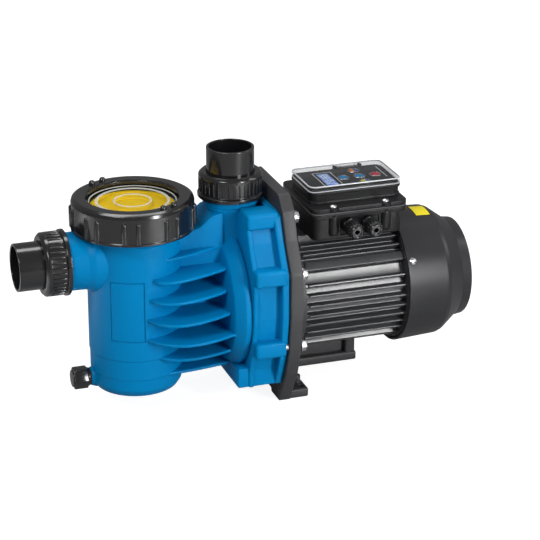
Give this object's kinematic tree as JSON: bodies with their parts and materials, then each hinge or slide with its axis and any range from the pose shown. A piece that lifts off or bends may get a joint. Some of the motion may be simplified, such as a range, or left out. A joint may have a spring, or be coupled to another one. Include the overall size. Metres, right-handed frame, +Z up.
{
  "type": "pool pump",
  "caption": "Self-priming pool pump: strainer pot with clear screw lid, volute, union pipe ends, bracket with feet, finned motor, fan cover and a push-button controller.",
  "frame": {"origin": "on the ground under the shaft, at the middle of the bracket plate's thickness; the near_foot mount lies on the same ground plane", "axes": "+X along the shaft towards the motor, +Z up, -Y towards the side with the cable glands"},
  "size_m": [0.4858, 0.178, 0.273],
  "materials": {
    "blue_plastic": "satin gloss",
    "black_gloss_plastic": "gloss",
    "dark_grey_plastic": "fine grained",
    "painted_housing": "satin black paint on die-cast aluminium",
    "clear_plastic": "clear moulded plastic",
    "display_glass": "clear window over a blue backlight",
    "yellow_plastic": "satin",
    "rubber": "matt",
    "bright_steel": "bright",
    "iron": "laminated steel",
    "copper": "varnished copper wire",
    "ceramic": "lapped ceramic and carbon",
    "circuit_board": "solder resist",
    "keypad": "film faced",
    "button_blue": "satin",
    "button_orange": "satin",
    "button_red": "satin",
    "button_yellow": "satin"
  },
  "bodies": {
    "pump": {"pump_casing": "blue_plastic", "bracket": "dark_grey_plastic", "casing_seal": "rubber", "diffuser": "dark_grey_plastic", "seal_stationary": "ceramic", "motor_housing": "painted_housing", "stator_core": "iron", "stator_windings": "copper", "front_bearing": "bright_steel", "rear_bearing": "bright_steel", "rear_end_shield": "painted_housing", "fan_cover": "dark_grey_plastic", "terminal_box": "dark_grey_plastic", "box_gasket": "rubber", "controller_housing": "dark_grey_plastic", "circuit_board": "circuit_board", "keypad_panel": "keypad", "display_window": "display_glass", "hinge_pin": "bright_steel", "gland_body_left": "black_gloss_plastic", "gland_body_right": "black_gloss_plastic", "gland_nut_left": "black_gloss_plastic", "gland_nut_right": "black_gloss_plastic", "suction_seal": "rubber", "discharge_seal": "rubber", "casing_bolt_1": "bright_steel", "casing_bolt_2": "bright_steel", "casing_bolt_3": "bright_steel", "casing_bolt_4": "bright_steel", "casing_bolt_5": "bright_steel", "casing_bolt_6": "bright_steel", "fan_cover_screw_1": "bright_steel", "fan_cover_screw_2": "bright_steel", "fan_cover_screw_3": "bright_steel", "box_screw_1": "bright_steel", "box_screw_2": "bright_steel", "box_screw_3": "bright_steel", "box_screw_4": "bright_steel"},
    "rotor": {"shaft": "bright_steel", "impeller": "dark_grey_plastic", "rotor_core": "iron", "seal_rotating": "ceramic", "fan": "dark_grey_plastic"},
    "lid": {"clear_lid": "clear_plastic", "lid_seal": "rubber"},
    "screw_ring": {"lid_ring": "black_gloss_plastic"},
    "basket": {"strainer_basket": "yellow_plastic"},
    "suction_tail": {"suction_tailpiece": "black_gloss_plastic"},
    "suction_nut": {"suction_nut": "black_gloss_plastic"},
    "discharge_tail": {"discharge_tailpiece": "black_gloss_plastic"},
    "discharge_nut": {"discharge_nut": "black_gloss_plastic"},
    "drain_washer": {"drain_seal": "rubber"},
    "drain_plug": {"drain_plug": "black_gloss_plastic"},
    "display_cover": {"display_cover": "clear_plastic"},
    "button_left": {"button_left": "button_blue"},
    "button_top": {"button_top": "button_orange"},
    "button_middle": {"button_middle": "button_blue"},
    "button_right": {"button_right": "button_red"},
    "button_bottom": {"button_bottom": "button_yellow"}
  },
  "joints": [
    {"name": "rotor_spin", "type": "hinge", "parent": "pump", "child": "rotor", "pos_m": [0, 0, 0.109], "axis": [1, 0, 0], "continuous": true},
    {"name": "lid_lift", "type": "slide", "parent": "pump", "child": "lid", "axis": [0, 0, 1], "range_m": [0, 0.26]},
    {"name": "lid_ring_turn", "type": "hinge", "parent": "lid", "child": "screw_ring", "pos_m": [-0.1485, 0, 0.215], "axis": [0, 0, 1], "range_deg": [0, 180]},
    {"name": "basket_lift", "type": "slide", "parent": "pump", "child": "basket", "axis": [0, 0, 1], "range_m": [0, 0.21]},
    {"name": "suction_tail_pull", "type": "slide", "parent": "pump", "child": "suction_tail", "axis": [-1, 0, 0], "range_m": [0, 0.03]},
    {"name": "suction_nut_turn", "type": "hinge", "parent": "suction_tail", "child": "suction_nut", "pos_m": [-0.235, 0, 0.167], "axis": [-1, 0, 0], "continuous": true},
    {"name": "discharge_tail_pull", "type": "slide", "parent": "pump", "child": "discharge_tail", "axis": [0, 0, 1], "range_m": [0, 0.03]},
    {"name": "discharge_nut_turn", "type": "hinge", "parent": "discharge_tail", "child": "discharge_nut", "pos_m": [-0.043, 0, 0.235], "axis": [0, 0, 1], "continuous": true},
    {"name": "drain_washer_slide", "type": "slide", "parent": "pump", "child": "drain_washer", "axis": [-1, 0, 0], "range_m": [0, 0.02]},
    {"name": "drain_plug_turn", "type": "hinge", "parent": "drain_washer", "child": "drain_plug", "pos_m": [-0.2085, 0, 0.0355], "axis": [-1, 0, 0], "continuous": true},
    {"name": "display_cover_open", "type": "hinge", "parent": "pump", "child": "display_cover", "pos_m": [0.1, 0.0368, 0.2224], "axis": [-1, 0, 0], "range_deg": [0, 105]},
    {"name": "button_left_press", "type": "slide", "parent": "pump", "child": "button_left", "axis": [0, 0, -1], "range_m": [0, 0.0007], "stiffness_N_per_m": 900, "springref_m": -0.0004},
    {"name": "button_top_press", "type": "slide", "parent": "pump", "child": "button_top", "axis": [0, 0, -1], "range_m": [0, 0.0007], "stiffness_N_per_m": 900, "springref_m": -0.0004},
    {"name": "button_middle_press", "type": "slide", "parent": "pump", "child": "button_middle", "axis": [0, 0, -1], "range_m": [0, 0.0007], "stiffness_N_per_m": 900, "springref_m": -0.0004},
    {"name": "button_right_press", "type": "slide", "parent": "pump", "child": "button_right", "axis": [0, 0, -1], "range_m": [0, 0.0007], "stiffness_N_per_m": 900, "springref_m": -0.0004},
    {"name": "button_bottom_press", "type": "slide", "parent": "pump", "child": "button_bottom", "axis": [0, 0, -1], "range_m": [0, 0.0007], "stiffness_N_per_m": 900, "springref_m": -0.0004}
  ],
  "couplings": [
    {"joint": "basket_lift", "follows": "lid_lift", "ratio": 0.8}
  ]
}
